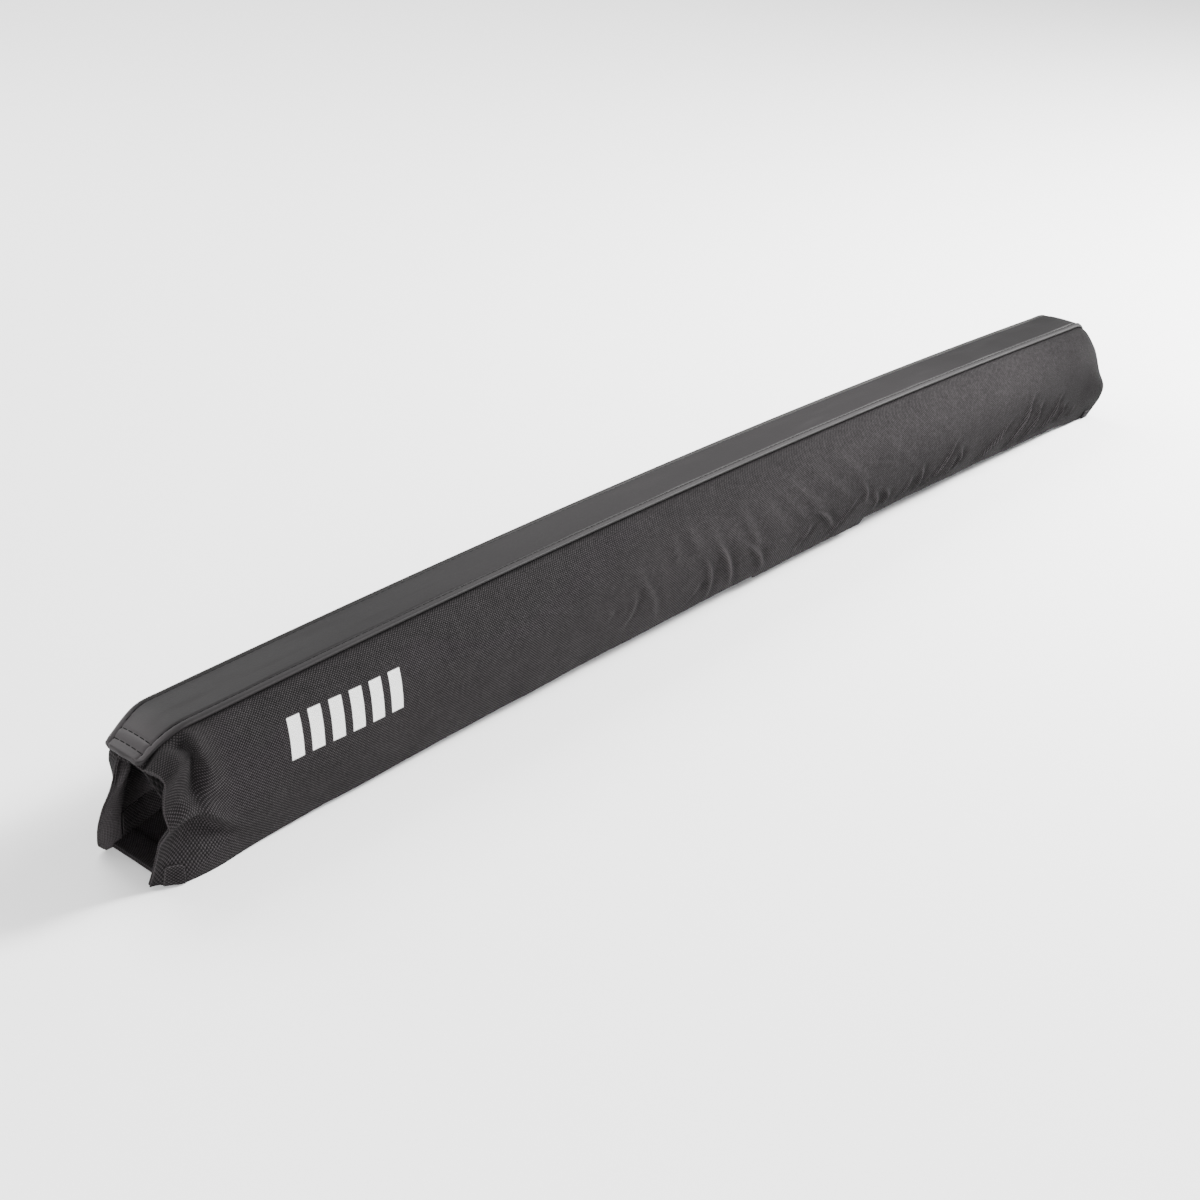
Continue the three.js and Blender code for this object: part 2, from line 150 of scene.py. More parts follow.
# Outlines of the mouths from the strip down, as shares of half the sleeve's width and of the mouth's height
NEAR_FRONT_MOUTH = [
    (0.403, 1.0),
    (0.5, 1.035),
    (0.626, 1.07),
    (0.771, 1.09),
    (0.903, 1.092),
    (1.01, 1.066),
    (1.045, 1.02),
    (1.019, 0.953),
    (1.003, 0.856),
    (1.019, 0.761),
    (1.116, 0.657),
    (1.019, 0.556),
    (0.903, 0.456),
    (0.848, 0.349),
    (0.794, 0.243),
    (0.732, 0.122),
    (0.658, 0),
]
NEAR_BACK_MOUTH = [
    (0.142, 1.0),
    (0.139, 0.913),
    (0.174, 0.811),
    (0.235, 0.698),
    (0.323, 0.584),
    (0.419, 0.477),
    (0.51, 0.345),
    (0.577, 0.193),
    (0.577, 0),
]
FAR_MOUTH = [
    (0.403, 1.0),
    (0.56, 0.985),
    (0.7, 0.9),
    (0.81, 0.77),
    (0.92, 0.61),
    (1.08, 0.44),
    (1.06, 0.28),
    (0.96, 0.13),
    (0.86, 0),
]

# Creases of the front wall, most of them in its far half, and the soft folds that rise over them. Each has a
# foot and a head, as distance along the pad and height over the hem, and then how strongly it stands.
CREASES = [
    (-110, 12, -103, 30, 0.5),
    (-85, 8, -98, 35, 0.5),
    (-123, 20, -123, 27, 0.4),
    (-61, 6, -52, 15, 0.6),
    (-42, 3, -47, 28, 0.8),
    (-23, 4, -37, 33, 0.8),
    (4, 6, -14, 26, 0.8),
    (36, 6, 45, 16, 0.8),
    (67, 10, 48, 25, 0.8),
    (64, 2, 88, 19, 0.9),
    (110, 6, 108, 18, 0.7),
    (99, 15, 93, 29, 0.7),
    (121, 6, 120, 16, 0.8),
    (135, 4, 146, 15, 0.9),
    (153, 4, 157, 20, 0.9),
    (167, 6, 192, 26, 1.0),
    (180, 5, 194, 15, 0.8),
    (197, 9, 199, 20, 0.8),
    (224, 6, 255, 23, 1.1),
    (258, 5, 283, 33, 1.2),
    (277, 5, 294, 26, 1.1),
    (298, 7, 319, 25, 1.1),
    (318, 8, 327, 18, 0.9),
    (336, 8, 345, 14, 0.8),
]
SOFT_FOLDS = [
    (-93, 22, -101, 54, 0.5),
    (-68, 32, -72, 57, 0.8),
    (-50, 31, -61, 58, 0.9),
    (-38, 22, -53, 50, 0.5),
    (-26, 14, -47, 58, 1.0),
    (-12, 18, -34, 52, 0.6),
    (2, 12, -21, 58, 1.0),
    (14, 24, -12, 56, 0.6),
    (22, 22, -5, 58, 0.8),
    (44, 20, 8, 55, 0.6),
    (66, 14, 18, 58, 0.9),
    (84, 22, 44, 56, 0.7),
    (104, 24, 70, 56, 0.6),
    (150, 24, 112, 56, 0.5),
    (196, 28, 160, 58, 0.4),
]


def ease(start, end, value):
    """Smooth step: 3 s squared less 2 s cubed, s being how far value has come from start to end."""
    share = np.clip((value - start) / (end - start), 0, 1)
    return share * share * (3 - 2 * share)


def mix(a, b, share):
    """a where share is 0, b where it is 1, and in proportion between."""
    return a + (b - a) * share


def bump(value, centre, width):
    """Bell: e to minus the square of the distance from the centre, in widths."""
    return np.exp(-(((value - centre) / width) ** 2))


def setback(x):
    """Distance in from the nearer mouth."""
    return np.maximum(HALF - np.abs(x), 0)


def arch(x):
    """Bow of the whole pad: a parabola in the middle, flat on a rest at each end."""
    return ARCH_RISE * (1 - np.minimum(np.abs(x) / (HALF - REST_LENGTH), 1) ** 2)


def strip_edge(x):
    """Half the strip's width, which narrows to the mouths past the shoulder."""
    return mix(MOUTH_STRIP_HALF, STRIP_HALF, ease(0, SHOULDER_REACH * 1.2, setback(x)))


def strip_top(x, y):
    """Height of the strip's face: a crown across it, and a drop to each mouth that grows as a power of the
    distance past the shoulder, whose corner is rounded: log(1 + e to the distance)."""
    reach = np.where(x < 0, SHOULDER_REACH, FAR_SHOULDER_REACH)
    left = np.logaddexp(0, (reach - setback(x)) / SHOULDER_ROUND) * SHOULDER_ROUND / reach
    crown = STRIP_CROWN * (1 - np.minimum(np.abs(y) / STRIP_HALF, 1) ** 2)
    return PAD_HEIGHT - MOUTH_DROP * left**SHOULDER_CURVE + crown


def lean(x, z):
    """Shift along the pad beside a mouth, most at the floor and none at the strip's height."""
    share = np.minimum(1 - z / PAD_HEIGHT, 1)
    near = NEAR_LEAN * (1 - ease(0, LEAN_REACH, HALF + x))
    far = FAR_LEAN * (1 - ease(0, LEAN_REACH, HALF - x))
    return -share * (near + far)


def place(x, y, z):
    """Points in the part's frame: x leans with the mouths, and z rises with the bow."""
    x, y, z = np.broadcast_arrays(x, y, z)
    return np.stack([x + lean(x, z) + CENTRING, y, z + arch(x)], axis=-1)


def smooth_curve(shares, t):
    """Curve through the points of a mouth's outline, each stretch a cubic whose slope at a point is half the
    step between its neighbours."""
    points = np.array(shares)
    last = len(points) - 1
    at = np.clip(t, 0, 1) * last
    i = np.minimum(np.floor(at).astype(int), last - 1)
    w = (at - i)[..., None]
    before, a, b, after = (points[np.clip(i + k, 0, last)] for k in (-1, 0, 1, 2))
    before = np.where((i == 0)[..., None], a, before)
    after = np.where((i == last - 1)[..., None], b, after)
    v0, v1 = (b - before) / 2, (after - a) / 2
    return (2 * a - 2 * b + v0 + v1) * w**3 + (3 * b - 3 * a - 2 * v0 - v1) * w**2 + v0 * w + a


def body_wall(edge, top, t):
    """A quarter ellipse from the strip's edge to the widest line, then a power curve in to the hem."""
    angle = np.minimum(t / WIDEST_AT, 1) * np.pi / 2
    down = np.clip((t - WIDEST_AT) / (1 - WIDEST_AT), 0, 1)
    tuck = mix(SLEEVE_HALF, BASE_HALF, down**TUCK_CURVE)
    out = np.where(t < WIDEST_AT, mix(edge, SLEEVE_HALF, np.sin(angle)), tuck)
    up = np.where(t < WIDEST_AT, mix(WIDEST_HEIGHT, top, np.cos(angle)), WIDEST_HEIGHT * (1 - down))
    return out, up


def wall_point(x, side, t):
    """A wall's smooth skin, as (distance out, height): the body's curve, given over to the mouth's outline by
    a share that eases in towards the mouth, over a shorter reach at the foot of the near front wall."""
    top = strip_top(x, STRIP_HALF) - PANEL_DEPTH
    out, up = body_wall(strip_edge(x), top, t)
    near = smooth_curve(NEAR_FRONT_MOUTH if side == FRONT else NEAR_BACK_MOUTH, t)
    far = smooth_curve(FAR_MOUTH, t)
    mouth = np.where((x < 0)[..., None], near, far)
    mouth_out = mouth[..., 0] * SLEEVE_HALF
    short = 0.0
    if side == FRONT:
        short = np.where(x < 0, ease(0.78, 1, t), 0.0)
    else:
        mouth_out = mouth_out + back_tuck(x, t)
    weight = 1 - ease(MOUTH_HEM / 3 * (1 - short), mix(MOUTH_REACH, FOOT_REACH, short), setback(x))
    return mix(out, mouth_out, weight), mix(up, mouth[..., 1] * top, weight)


def back_tuck(x, t):
    """How much farther out than its hem the back wall is, past the fold that tucks the hem in under the
    strip's near end."""
    return TUCK_DEPTH * (1 - ease(0.16, 0.42, t)) * ease(0, TUCK_REACH, HALF + x) * (x < 0)


def near_valley(x, t):
    """Depth of the fold that runs down the front wall beside the near mouth, where the foam ends."""
    s = HALF + x
    aside = s - VALLEY_AT - VALLEY_SWAY * bump(t, 0.46, 0.1)
    held = ease(0.02, 0.15, t) * (1 - ease(0.56, 0.68, t)) * ease(0, 6, s)
    return VALLEY_DEPTH * np.exp(-((aside / np.where(aside < 0, 5.0, 3.6)) ** 2)) * held


def near_folds(x, t):
    """Folds of the front wall beside the near mouth: the valley, a ridge over a hollow, the foot's flare and
    a wrinkle over the hem."""
    s = HALF + x
    below = t - RIDGE_PLACE - 0.0003 * np.maximum(s - 16, 0) ** 2
    crest = np.exp(-((below / np.where(below < 0, 0.07, 0.022)) ** 2))
    ridge = RIDGE_HEIGHT * crest * bump(s, 17, 11) * ease(0, 7, s)
    hollow = HOLLOW_DEPTH * bump(below, 0.08, 0.052) * bump(s, 19, 9.5) * ease(0, 9, s)
    flare = FLARE * bump(s, 22, 16) * ease(0.85, 1, t) * ease(0, 5, s)
    wrinkle = WRINKLE * bump(t, 0.85 + (s - 14) / 700, 0.016) * bump(s, 21, 8)
    return ridge - near_valley(x, t) - hollow + flare + wrinkle


def wall_direction(x, side, t):
    """Unit step down the wall, from two points either side."""
    step = 0.01
    before = wall_point(x, side, np.maximum(t - step, 0))
    after = wall_point(x, side, np.minimum(t + step, 1))
    out, up = after[0] - before[0], after[1] - before[1]
    length = np.hypot(out, up)
    return out / length, up / length


def skin(x, side, t, depth, stand=0.0):
    """A point below the smooth skin by depth, moved out by its relief: (y, z) along the wall's normal."""
    x, t = np.broadcast_arrays(x, t)
    out, up = wall_point(x, side, t)
    run_out, run_up = wall_direction(x, side, t)
    fold = near_folds(x, t) if side == FRONT else 0.0
    away = fold - depth + stand
    return side * (out - run_up * away), up + run_out * away


def creases(x, height):
    """Relief of the front wall's creases: each is a narrow ridge along its line, with a shallow trough on its
    far side, that swells in from its foot and fades to its head."""
    relief = np.zeros(np.broadcast(x, height).shape)
    for foot_x, foot_z, head_x, head_z, strength in CREASES:
        share = (height - foot_z) / (head_z - foot_z)
        line = mix(foot_x, head_x, share) + 2.5 * np.sin(np.pi * np.clip(share, 0, 1))
        shown = ease(-0.3, 0.3, share) * (1 - ease(0.55, 1.25, share))
        aside = x - line
        relief += strength * shown * (1.5 * bump(aside, 0, 2.3) - 0.9 * bump(aside, 4.8, 3.2))
    return relief * (1 + 0.7 * ease(120, 230, x))


def soft_waves(x, t, seed):
    """Slow unevenness of hung cloth: a few long waves along the pad that turn as they run down the wall."""
    rng = np.random.default_rng(seed)
    total = 0.0
    for length in (23.0, 37.0, 58.0, 91.0):
        phase, turn = rng.uniform(0, 2 * np.pi), rng.uniform(-3, 3)
        total = total + np.sin(2 * np.pi * x / length + turn * t + phase) * length / 91
    return total / 2.3


def soft_folds(x, height):
    """Low swells that slant up the front wall over its creases, each wider towards its head."""
    relief = np.zeros(np.broadcast(x, height).shape)
    for foot_x, foot_z, head_x, head_z, strength in SOFT_FOLDS:
        share = (height - foot_z) / (head_z - foot_z)
        shown = ease(-0.2, 0.3, share) * (1 - ease(0.45, 1.0, share))
        relief += strength * shown * bump(x, mix(foot_x, head_x, share), mix(2.8, 6, np.clip(share, 0, 1)))
    return relief


def hem_sag(x):
    """How far the front hem hangs below the plain hem line: lower from the middle to a third along, and then
    lifted towards the far mouth."""
    begun, ended = ease(-1.5, 1.5, x), ease(101, 104, x)
    free = 1 - ease(313, HALF - MOUTH_HEM, x)
    return HEM_SAG * begun * (1 - ended) - HEM_LIFT * ended * free


def wall_relief(x, side, t):
    """What stands out of the smooth wall: waves, soft folds and creases, which end above the hem. The back
    wall has the front wall's creases the other way round, a little weaker."""
    held = ease(0, 0.12, t) * ease(20, 60, setback(x))
    above_hem = 1 - ease(0.93, 1.0, t)
    _, height = wall_point(x, side, t)
    if side == FRONT:
        plain = 0.3 * soft_waves(x, t, FRONT_WAVES) + 0.8 * soft_folds(x, height)
        return held * (plain + creases(x, height) * above_hem)
    mirrored = creases(-x * 0.9 + 40, height) * 0.7
    return held * (0.35 * soft_waves(x, t, BACK_WAVES) + mirrored * above_hem)


def mouth_trim(x, side, t):
    """How far the near mouth's hem is drawn back: at the top, under the strip, and at the back wall's foot,
    whose corner is rounded."""
    trim = (FRONT_TRIM if side == FRONT else BACK_TRIM) * (1 - ease(0.02, 0.14, t))
    if side == BACK:
        trim = trim + CORNER_TRIM * ease(0.93, 1, t) ** 2
    return trim * (1 - ease(0, MOUTH_HEM, HALF + x))


def wall_layer(x, side, t, depth):
    """A layer of a wall, with the hem's sag drawn along the wall's lowest stretch."""
    y, z = skin(x, side, t, depth, wall_relief(x, side, t))
    if side == FRONT:
        run_out, run_up = wall_direction(x, side, t)
        sag = hem_sag(x) * ease(HEM_AT, 1, t)
        y, z = y + side * run_out * sag, z + run_up * sag
    return x + mouth_trim(x, side, t), y, z


def stations(inset, step, fine):
    """Places along the pad, closer together by the share fine near a mouth."""
    near = np.arange(inset, FINE_REACH, step * fine)
    count = int((2 * HALF - 2 * FINE_REACH) / step)
    body = np.linspace(FINE_REACH - HALF, HALF - FINE_REACH, count)
    return np.concatenate([near - HALF, body, (HALF - near)[::-1]])


def write_mesh(name, points, faces, uv=None, marks=None):
    """Puts points in millimetres and faces into a mesh in metres, with a value of uv at each face corner and
    named numbers at each point."""
    mesh = bpy.data.meshes.new(name)
    mesh.from_pydata((points * MM).tolist(), [], faces.tolist())
    if uv is not None:
        layer = mesh.uv_layers.new(name="cloth")
        layer.data.foreach_set("uv", uv.astype(np.float32).ravel())
    for key, values in (marks or {}).items():
        mesh.attributes.new(key, "FLOAT", "POINT").data.foreach_set("value", values.astype(np.float32))
    mesh.polygons.foreach_set("use_smooth", np.ones(len(mesh.polygons), bool))
    mesh.update()
    piece = bpy.data.objects.new(name, mesh)
    bpy.context.scene.collection.objects.link(piece)
    return piece


def volume(points, faces):
    """Six times the volume inside quads, below zero where they face inwards."""
    a, b, c, d = (points[faces[:, k]] for k in range(4))
    return (np.cross(b, c) * a).sum() + (np.cross(c, d) * a).sum()


def tube_faces(rings, around):
    """Quads between neighbouring rings of a tube, then each quad's ring, place in it, and next place."""
    i, k = (grid.ravel() for grid in np.meshgrid(np.arange(rings - 1), np.arange(around), indexing="ij"))
    after = (k + 1) % around
    low, high = i * around, (i + 1) * around
    return np.stack([low + k, low + after, high + after, high + k], axis=1), i, k, after


def loft(name, rings, caps, u, v, marks=None):
    """Closed surface through equal rings of points (rings, points, 3): quads between neighbouring rings, and
    caps of quads at the first and the last. u is the distance of each ring and v of each point, v with one
    value more for the way back to the first."""
    count, around = rings.shape[:2]
    faces, i, k, after = tube_faces(count, around)
    v = np.broadcast_to(v, (count, around + 1))
    u = np.broadcast_to(np.reshape(u, (count, -1)), (count, around))
    corners = np.stack(
        [
            np.stack([u[i, k], v[i, k]], -1),
            np.stack([u[i, after], v[i, k + 1]], -1),
            np.stack([u[i + 1, after], v[i + 1, k + 1]], -1),
            np.stack([u[i + 1, k], v[i + 1, k]], -1),
        ],
        axis=1,
    )
    last = (count - 1) * around
    cap_faces = np.concatenate([caps[:, ::-1], last + caps])
    flat_v = v[:, :around].ravel()
    cap_uv = np.stack([u.ravel()[cap_faces], flat_v[cap_faces]], axis=-1)
    points = rings.reshape(-1, 3)
    faces, uv = np.concatenate([faces, cap_faces]), np.concatenate([corners, cap_uv])
    if volume(points, faces) < 0:
        faces, uv = faces[:, ::-1], uv[:, ::-1]
    return write_mesh(name, points, faces, uv, marks)


def sheet_of_cloth(name, outer, inner, u, tone=0.0, inner_painted_light=0.0, edge_painted_light=1.0):
    """Sheet of cloth between two grids of points (stations, rows, 3). Its edges are half circles across its
    thickness: centre + cos a (face - centre) + sin a (half thickness) (way out of the edge). The attribute
    fold holds painted light and shade: how much lighter or darker the cloth is painted on the outer face,
    the inner face, the long edges and the ends."""
    rows = outer.shape[1]

    def way(a, b):
        return (a - b) / np.maximum(np.linalg.norm(a - b, axis=-1, keepdims=True), 1e-9)

    def edge(a, b, before):
        centre, half = (a + b) / 2, np.linalg.norm(a - b, axis=-1, keepdims=True) / 2
        outward = way(a, before)
        turned = [centre + np.cos(q) * (a - centre) + np.sin(q) * half * outward for q in EDGE_TURNS]
        return np.stack(turned, axis=1)

    low = edge(outer[:, -1], inner[:, -1], outer[:, -2])
    high = edge(inner[:, 0], outer[:, 0], inner[:, 1])
    rings = np.concatenate([outer, low, inner[:, ::-1], high], axis=1)
    around = rings.shape[1]
    bend, ends = len(EDGE_TURNS), len(END_TURNS)
    across = (2 * rows + bend - 1 - np.arange(around)) % around

    def end(ring, inward, turn):
        centre = (ring + ring[across]) / 2
        half = np.linalg.norm(ring - ring[across], axis=-1, keepdims=True) / 2
        return centre + np.cos(turn) * (ring - centre) + np.sin(turn) * half * way(ring, inward)

    first = np.stack([end(rings[0], rings[1], q) for q in END_TURNS])
    last = np.stack([end(rings[-1], rings[-2], q) for q in END_TURNS[::-1]])
    fold = np.zeros((len(rings) + 2 * ends, around))
    # Painted light and shade for each face, and for the ends and the long edges
    fold[ends:-ends, :rows] = tone
    fold[ends:-ends, rows + bend : 2 * rows + bend] = inner_painted_light
    fold[:ends] = fold[-ends:] = END_PAINTED_HIGHLIGHT
    fold[:, rows : rows + bend] = fold[:, 2 * rows + bend :] = edge_painted_light
    rings = np.concatenate([first, rings, last])
    steps = np.linalg.norm(np.diff(rings, axis=1, append=rings[:, :1]), axis=-1)
    v = np.concatenate([[0.0], np.cumsum(np.median(steps, axis=0))])
    u = np.concatenate([u[0] - CLOTH * np.sin(END_TURNS), u, u[-1] + CLOTH * np.sin(END_TURNS[::-1])])
    upper = np.arange(-(bend // 2), rows + bend // 2) % around
    caps = np.stack([upper[:-1], upper[1:], across[upper[1:]], across[upper[:-1]]], axis=1)
    return loft(name, rings, caps, u, v, {"fold": fold.ravel()})


def wall_panel(name, side):
    """Side wall: a seam allowance under the strip, then down the skin to the hem. It is painted with light and
    shade that rise and fall along the pad: painted light on the upper far half, the soft folds and the crease
    ridges, and painted shade low on the far half, towards the far mouth, beside the strip, in the crease
    troughs and in the near valley."""
    xs = stations(0, 1.5, 0.4)
    x = xs[:, None]
    t = np.concatenate([np.linspace(0, 0.55, 26), np.linspace(0.563, 0.8, 19), np.linspace(0.82, 1, 11)])
    tucked = np.array([SEAM_ALLOWANCE, SEAM_ALLOWANCE / 2, 1.0])
    faces = []
    for depth in (0.0, CLOTH):
        run, y, z = wall_layer(x, side, t, depth)
        edge = np.abs(y[:, :1])
        under = z[:, :1] + strip_top(x, edge - tucked) - strip_top(x, edge)
        y = np.concatenate([side * (edge - tucked), y], axis=1)
        z = np.concatenate([under, z], axis=1)
        run = np.concatenate([np.repeat(run[:, :1], len(tucked), axis=1), run], axis=1)
        faces.append(place(run, y, z))
    # Painted light and shade: upper far half painted lighter, its lower part and the far mouth darker
    shade = ease(-60, 160, x) * (0.25 - 0.8 * ease(0.3, 0.7, t)) - 0.8 * ease(250, HALF, x)
    # Painted shadow in the gap under the strip's bead
    tone = shade - 1.8 * bump(t, 0, 0.022)
    if side == FRONT:
        height = wall_point(x, side, t)[1]
        # Painted highlight on crease ridges and soft folds, painted shade in crease troughs and the near valley
        tone = tone + 0.4 * creases(x, height) + 0.4 * soft_folds(x, height) - 0.13 * near_valley(x, t)
    tone = np.concatenate([np.zeros((len(xs), len(tucked))), tone], axis=1)
    return sheet_of_cloth(name, *faces, xs, tone, INNER_PAINTED_LIGHT)


def ply(name, side, xs, t, gap, inner_painted_light):
    """Turned-in ply of a hem, just inside a wall."""
    x = xs[:, None]
    depth = CLOTH + gap
    faces = [place(*wall_layer(x, side, t, d)) for d in (depth, depth + CLOTH)]
    # Its inner face is painted lighter, as painted light, by the given amount
    return sheet_of_cloth(name, *faces, xs, 0.0, inner_painted_light)


def corner_tab(name, side, end):
    """Small ply sewn over the foot of a mouth's hem, on the wall's outer face."""
    xs = np.arange(TAB_START, TAB_REACH, 0.7) - HALF
    xs = xs if end < 0 else -xs[::-1]
    x = xs[:, None]
    t = np.linspace(TAB_TOP_AT, TAB_FOOT_AT, 12)
    faces = [place(*wall_layer(x, side, t, d)) for d in (-CLOTH - TAB_PUFF, -TAB_LIFT)]
    return sheet_of_cloth(name, *faces, xs)


def wall_place(x, side, height, depth):
    """Place t down the wall where a layer below the skin is at a height, by halving."""
    above, below = np.full(x.shape, 0.1), np.ones(x.shape)
    for _ in range(HALVINGS):
        middle = (above + below) / 2
        over = skin(x, side, middle, depth)[1] > height
        above, below = np.where(over, middle, above), np.where(over, below, middle)
    return above


def wall_out(x, side, height, depth):
    """How far out a layer below the skin is at a height."""
    return np.abs(skin(x, side, wall_place(x, side, height, depth), depth)[0])


def strip_relief(x, y):
    """Relief of the strip's face: a rounded bead along each edge outside a stitched groove, grooves across
    each end, and slow unevenness."""
    inside = strip_edge(x) - np.abs(y)
    s = setback(x)
    off_bead = 1 - bump(inside, 0, 2.0)
    bead = 0.5 * bump(inside, 1.1, 0.8) - SEAM_SINK * bump(inside, EDGE_SEAM, SEAM_WIDTH)
    rows = -SEAM_SINK * sum(bump(s, seam, SEAM_WIDTH) for seam in END_SEAMS) * off_bead
    filled = 0.45 * bump(s, 6, 1.4) + 0.7 * bump(s, STRIP_SETBACK, 1.3)
    wave = 0.16 * soft_waves(x, y / 30, STRIP_WAVES) + 0.1 * np.sin(x / 9.0 + y / 4.0) * np.sin(x / 31.0)
    wave = wave * (1 + ease(50, 250, x))
    return bead + rows + filled * off_bead + wave * ease(0, 6, inside) * ease(6, 20, s)


def strip_face(x, y):
    """Height of the strip's face with its relief."""
    return strip_top(x, y) + strip_relief(x, y)


def wear_strip():
    """Coated strip: a crowned ribbon whose edges and ends are folded under to a double thickness. Its corners
    are quarter circles: radius less the root of radius squared less the way into the arc squared. It is
    painted lighter, as painted highlight, on the beads, the ends and the near drop, and darker, as painted
    shade, in the seams, behind the drop and far off."""
    xs = stations(STRIP_SETBACK, 2.0, 0.25)
    x = xs[:, None]
    half = np.array(STRIP_ROWS) / STRIP_HALF
    across = np.concatenate([half - 1, (1 - half)[::-1]])
    to_arc = np.clip(CORNER_RADIUS + STRIP_SETBACK - setback(x), 0, CORNER_RADIUS)
    y = across * (strip_edge(x) - CORNER_RADIUS + np.sqrt(CORNER_RADIUS**2 - to_arc**2))
    z = strip_face(x, y)
    inside = strip_edge(x) - np.abs(y)
    edges = 1 - ease(STRIP_FOLD - FOLD_STEP, STRIP_FOLD + FOLD_STEP, inside)
    ends = 1 - ease(STRIP_END_FOLD - FOLD_STEP, STRIP_END_FOLD + FOLD_STEP, setback(x))
    folded = np.maximum(edges, ends)
    under = strip_top(x, y) - STRIP_CLOTH * (1 + folded)
    # Painted highlight on the beads, fainter in the far half, and painted shade in the edge seams
    bead_highlight_and_seam_shade = 1.1 * bump(inside, 0.9, 0.6) * (1 - 0.35 * ease(0, 300, x)) - 1.1 * bump(inside, EDGE_SEAM, 0.5)
    # Painted highlight at the ends and on the near drop, painted shade behind the drop and far off
    tone = bead_highlight_and_seam_shade + 0.5 * (1 - ease(0.6, 1.8, setback(x))) + 3.8 * (1 - ease(6, 22, HALF + x))
    tone = tone - 0.9 * (1 - ease(100, 290, HALF + x)) - 1.0 * ease(120, 340, x)
    # The long edges get painted shade
    return sheet_of_cloth("wear_strip_cloth", place(x, y, z), place(x, y, under), xs, tone, edge_painted_light=-0.4)


def floor_rows(xs, count):
    """Rows of points from the floor's front edge to its back one, as x, y and height: slow waves, upwards
    only, that die out at both edges."""
    back = wall_out(xs, BACK, 0.0, HOOK_DEPTH) - BASE_GAP
    depth = mix(HOOK_DEPTH, FLAP_DEPTH, ease(MOUTH_HEM, MOUTH_REACH, setback(xs)))
    front = BASE_GAP - wall_out(xs, FRONT, CLOTH, depth)
    x, across = xs[:, None], np.linspace(0, 1, count)
    lift = 0.25 * np.maximum(soft_waves(x, across, BASE_WAVES) * np.sin(np.pi * across), 0)
    return x, mix(front[:, None], back[:, None], across), lift


def base_panel():
    """Floor under the bar, from the foot of the back wall to the closure flap."""
    xs = stations(BASE_SETBACK, 2.5, 0.4)
    x, y, lift = floor_rows(xs, 26)
    return sheet_of_cloth("base_panel_cloth", place(x, y, lift), place(x, y, lift + CLOTH), xs)


def base_ply(name, xs):
    """Turned-in ply on top of the floor."""
    x, y, lift = floor_rows(xs, 18)
    z = lift + CLOTH + PLY_GAP
    return sheet_of_cloth(name, place(x, y, z), place(x, y, z + CLOTH * 0.9), xs)


def closure_flap():
    """Flap that stands on the floor's front edge, inside the front wall, up to the lip."""
    xs = stations(MOUTH_REACH, 2.5, 0.6)
    x = xs[:, None]
    foot = wall_place(xs, FRONT, FLAP_FOOT, FLAP_DEPTH)[:, None]
    t = mix(foot, LIP_TOP_AT, np.linspace(0, 1, 16))
    faces = [place(x, *skin(x, FRONT, t, d)) for d in (FLAP_DEPTH, FLAP_DEPTH + CLOTH)]
    return sheet_of_cloth("closure_flap_cloth", *faces, xs)


def tape(name, depth, thickness):
    """Hook or loop tape, down the inside of the front wall."""
    xs = stations(TAPE_SETBACK, 3.0, 1.0)
    x = xs[:, None]
    t = np.linspace(TAPE_TOP_AT, TAPE_BOTTOM_AT, 12)
    faces = [place(x, *skin(x, FRONT, t, d)) for d in (depth, depth + thickness)]
    return sheet_of_cloth(name, *faces, xs)


def lining_points(x, side):
    """Where the lining leaves a wall and where it turns across: in the body over the bar, and at each end
    rising to the underside of the strip."""
    rise = 1 - np.minimum((setback(x) - LINING_SETBACK) / (FOAM_SETBACK - LINING_SETBACK), 1)
    rise = ease(0, 1, rise)
    depth = np.where(rise > 0, HOOK_DEPTH + LINING_CLEAR, LINING_DEPTH)
    under_strip = rise
    if side == FRONT:
        rise = np.where(x < 0, 0.0, rise)
    edge = strip_edge(x)
    wall = np.abs(skin(x, side, np.full(x.shape, 0.2), HOOK_DEPTH)[0])
    under_y = np.minimum(edge - SEAM_ALLOWANCE / 2, wall - 0.3)
    under_z = strip_top(x, edge) - PANEL_DEPTH - LINING_DROP
    points = []
    for t, over in ((LINING_TOP_AT, LINING_TURN), (LINING_AT, 0.0)):
        y, z = skin(x, side, np.full(x.shape, t), depth)
        up = mix(z, under_z + over, rise)
        out = mix(np.abs(y), under_y, rise)
        points.append((side * np.minimum(out, wall_out(x, side, up, depth)), up))
    inner = mix(np.abs(points[1][0]) * 0.8, edge - 1.0, under_strip)
    shelf = mix(skin(x, side, np.full(x.shape, LINING_AT), LINING_DEPTH)[1], under_z, under_strip)
    return [*points, (side * inner, shelf)]


def foam_lining():
    """Lining under the foam: up each wall, and across over the bar. Six points are placed at each station,
    and even rows run between them."""
    xs = stations(LINING_SETBACK, 2.5, 0.4)
    (fy, fz), (gy, gz), (front, front_seat) = lining_points(xs, FRONT)
    (by, bz), (cy, cz), (back, back_seat) = lining_points(xs, BACK)
    seat = (front_seat + back_seat) / 2 - 0.9 * ease(0, 6, setback(xs) - FOAM_SETBACK)
    keys_y = np.stack([fy, gy, front, back, cy, by], axis=1)
    keys_z = np.stack([fz, gz, seat, seat, cz, bz], axis=1)
    at = np.array([0, 8, 12, 36, 40, 48.0])
    rows = np.arange(49.0)
    pick = np.clip(np.searchsorted(at, rows, side="right") - 1, 0, 4)
    share = (rows - at[pick]) / (at[pick + 1] - at[pick])
    y = mix(keys_y[:, pick], keys_y[:, pick + 1], share)
    z = mix(keys_z[:, pick], keys_z[:, pick + 1], share)
    x = xs[:, None]
    return sheet_of_cloth("foam_lining_cloth", place(x, y, z), place(x, y * 0.985, z + CLOTH), xs)


